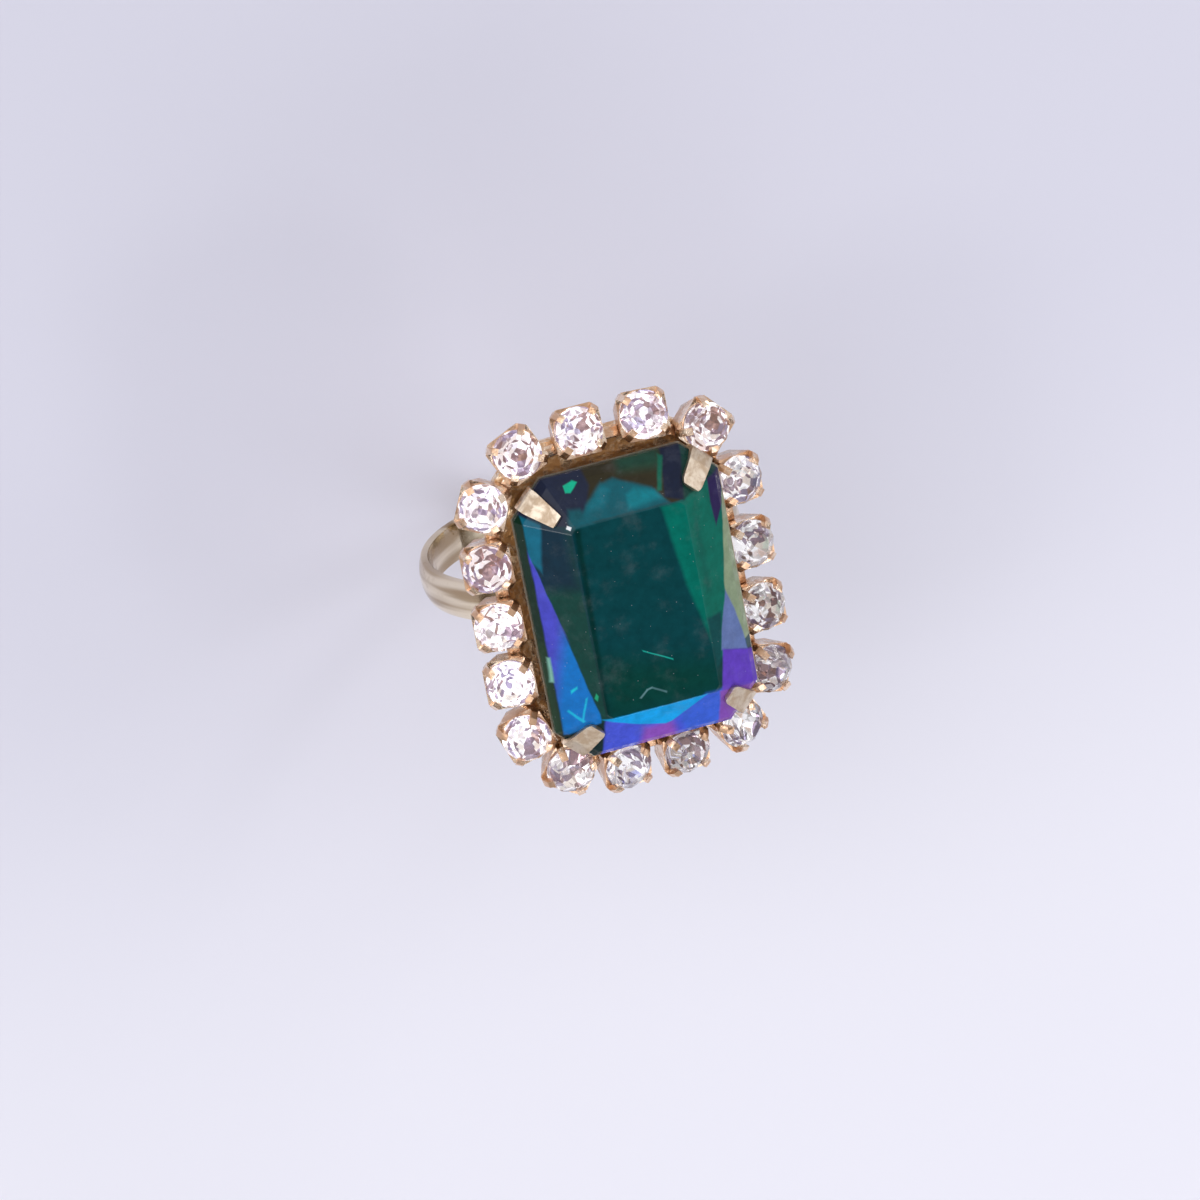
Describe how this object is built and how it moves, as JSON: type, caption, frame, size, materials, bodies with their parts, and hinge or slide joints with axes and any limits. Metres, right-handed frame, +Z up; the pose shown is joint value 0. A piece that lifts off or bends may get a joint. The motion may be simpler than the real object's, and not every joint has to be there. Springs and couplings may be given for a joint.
{
  "type": "cocktail ring",
  "caption": "Gold-tone cocktail ring: a large cut-corner stone in a claw setting, ringed by claw-set round rhinestones, on a plain closed finger band.",
  "frame": {"origin": "centre of the finger bore, midway across the band's width", "axes": "+Z up through the middle of the head, +Y along the finger and the large stone's long side, +X across the finger"},
  "size_m": [0.0204, 0.0247, 0.0262],
  "materials": {
    "band_metal": "polished pale gold plating",
    "plate_metal": "satin gold plating",
    "setting_metal": "polished pale gold plating",
    "cup_metal": "polished warm gold plating",
    "teal_glass": "polished cut glass with a colour-shifting foiled back",
    "clear_glass": "polished clear cut glass with a silvered back"
  },
  "bodies": {
    "root": {"finger_band": "band_metal", "base_plate": "plate_metal", "cup_rail": "plate_metal", "stone_setting": "setting_metal", "centre_stone": "teal_glass", "claw_cup_01": "cup_metal", "rhinestone_01": "clear_glass", "chain_link_01": "cup_metal", "claw_cup_02": "cup_metal", "rhinestone_02": "clear_glass", "chain_link_02": "cup_metal", "claw_cup_03": "cup_metal", "rhinestone_03": "clear_glass", "chain_link_03": "cup_metal", "claw_cup_04": "cup_metal", "rhinestone_04": "clear_glass", "chain_link_04": "cup_metal", "claw_cup_05": "cup_metal", "rhinestone_05": "clear_glass", "chain_link_05": "cup_metal", "claw_cup_06": "cup_metal", "rhinestone_06": "clear_glass", "chain_link_06": "cup_metal", "claw_cup_07": "cup_metal", "rhinestone_07": "clear_glass", "chain_link_07": "cup_metal", "claw_cup_08": "cup_metal", "rhinestone_08": "clear_glass", "chain_link_08": "cup_metal", "claw_cup_09": "cup_metal", "rhinestone_09": "clear_glass", "chain_link_09": "cup_metal", "claw_cup_10": "cup_metal", "rhinestone_10": "clear_glass", "chain_link_10": "cup_metal", "claw_cup_11": "cup_metal", "rhinestone_11": "clear_glass", "chain_link_11": "cup_metal", "claw_cup_12": "cup_metal", "rhinestone_12": "clear_glass", "chain_link_12": "cup_metal", "claw_cup_13": "cup_metal", "rhinestone_13": "clear_glass", "chain_link_13": "cup_metal", "claw_cup_14": "cup_metal", "rhinestone_14": "clear_glass", "chain_link_14": "cup_metal", "claw_cup_15": "cup_metal", "rhinestone_15": "clear_glass", "chain_link_15": "cup_metal", "claw_cup_16": "cup_metal", "rhinestone_16": "clear_glass", "chain_link_16": "cup_metal", "claw_cup_17": "cup_metal", "rhinestone_17": "clear_glass", "chain_link_17": "cup_metal"}
  },
  "joints": []
}
